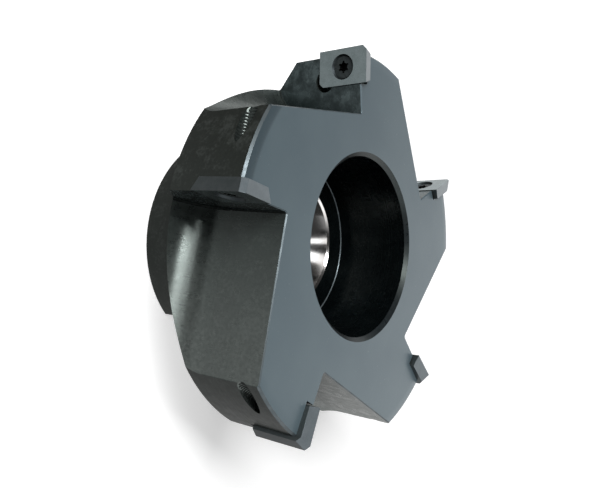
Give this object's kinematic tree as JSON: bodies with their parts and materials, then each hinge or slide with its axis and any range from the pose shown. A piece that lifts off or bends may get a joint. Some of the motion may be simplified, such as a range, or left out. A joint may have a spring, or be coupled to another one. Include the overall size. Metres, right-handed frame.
{
  "type": "indexable shell mill",
  "caption": "Indexable shell mill for 90-degree face milling: blackened steel body bored for an arbor, with carbide inserts held by countersunk screws.",
  "frame": {"origin": "centre of the arbor bore at the hub's rear face", "axes": "+Z along the cutter's axis towards the cutting face; +X along the drive slot in the rear face"},
  "size_m": [0.097, 0.0971, 0.0499],
  "materials": {
    "body_steel": "blackened steel, satin, with fine milling marks in the gashes",
    "carbide": "ground carbide, satin grey",
    "screw_steel": "blackened, slightly glossy"
  },
  "bodies": {
    "root": {"cutter_body": "body_steel", "insert_1": "carbide", "insert_2": "carbide", "insert_3": "carbide", "insert_4": "carbide", "insert_5": "carbide", "insert_screw_1": "screw_steel", "insert_screw_2": "screw_steel", "insert_screw_3": "screw_steel", "insert_screw_4": "screw_steel", "insert_screw_5": "screw_steel"}
  },
  "joints": []
}
